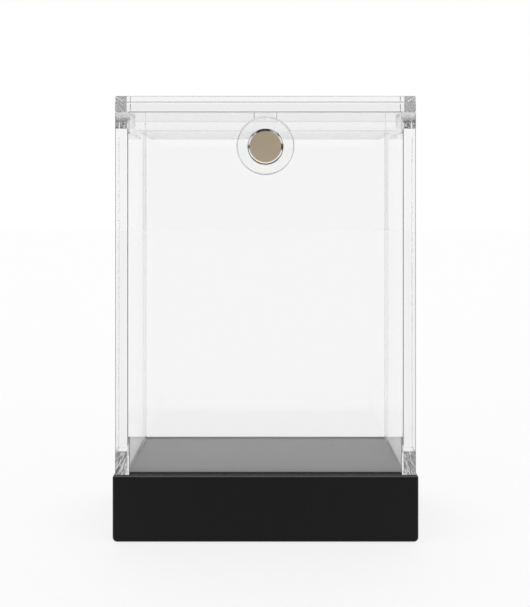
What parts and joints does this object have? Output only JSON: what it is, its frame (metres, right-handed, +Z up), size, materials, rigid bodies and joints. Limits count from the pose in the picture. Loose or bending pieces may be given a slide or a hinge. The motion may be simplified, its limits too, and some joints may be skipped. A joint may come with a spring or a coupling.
{
  "type": "trading card display case",
  "caption": "Upright clear acrylic case with a magnetic lift-off lid, standing on a solid black acrylic block, for showing trading cards or sealed packs.",
  "frame": {"origin": "middle of the underside of the black base block, which is also the bottom centre of the bounding box", "axes": "+Z up, +X to the right seen from the front, +Y to the back; the front panel with its round magnet faces -Y"},
  "size_m": [0.1168, 0.0478, 0.1702],
  "materials": {
    "clear_acrylic": "clear cast acrylic with flame-polished and saw-cut edges",
    "black_acrylic": "polished solid black cast acrylic",
    "nickel_plate": "satin nickel plate over a sintered magnet"
  },
  "bodies": {
    "case": {"base_block": "black_acrylic", "left_side_panel": "clear_acrylic", "right_side_panel": "clear_acrylic", "front_panel": "clear_acrylic", "rear_panel": "clear_acrylic", "front_panel_magnet": "nickel_plate"},
    "lid": {"lid_top_sheet": "clear_acrylic", "lid_lower_sheet": "clear_acrylic", "lid_locating_plate": "clear_acrylic", "lid_tab_neck": "clear_acrylic", "lid_tab_disc": "clear_acrylic", "lid_magnet": "nickel_plate"}
  },
  "joints": [
    {"name": "lid_lift", "type": "slide", "parent": "case", "child": "lid", "axis": [0, 0, 1], "range_m": [0, 0.05]}
  ]
}
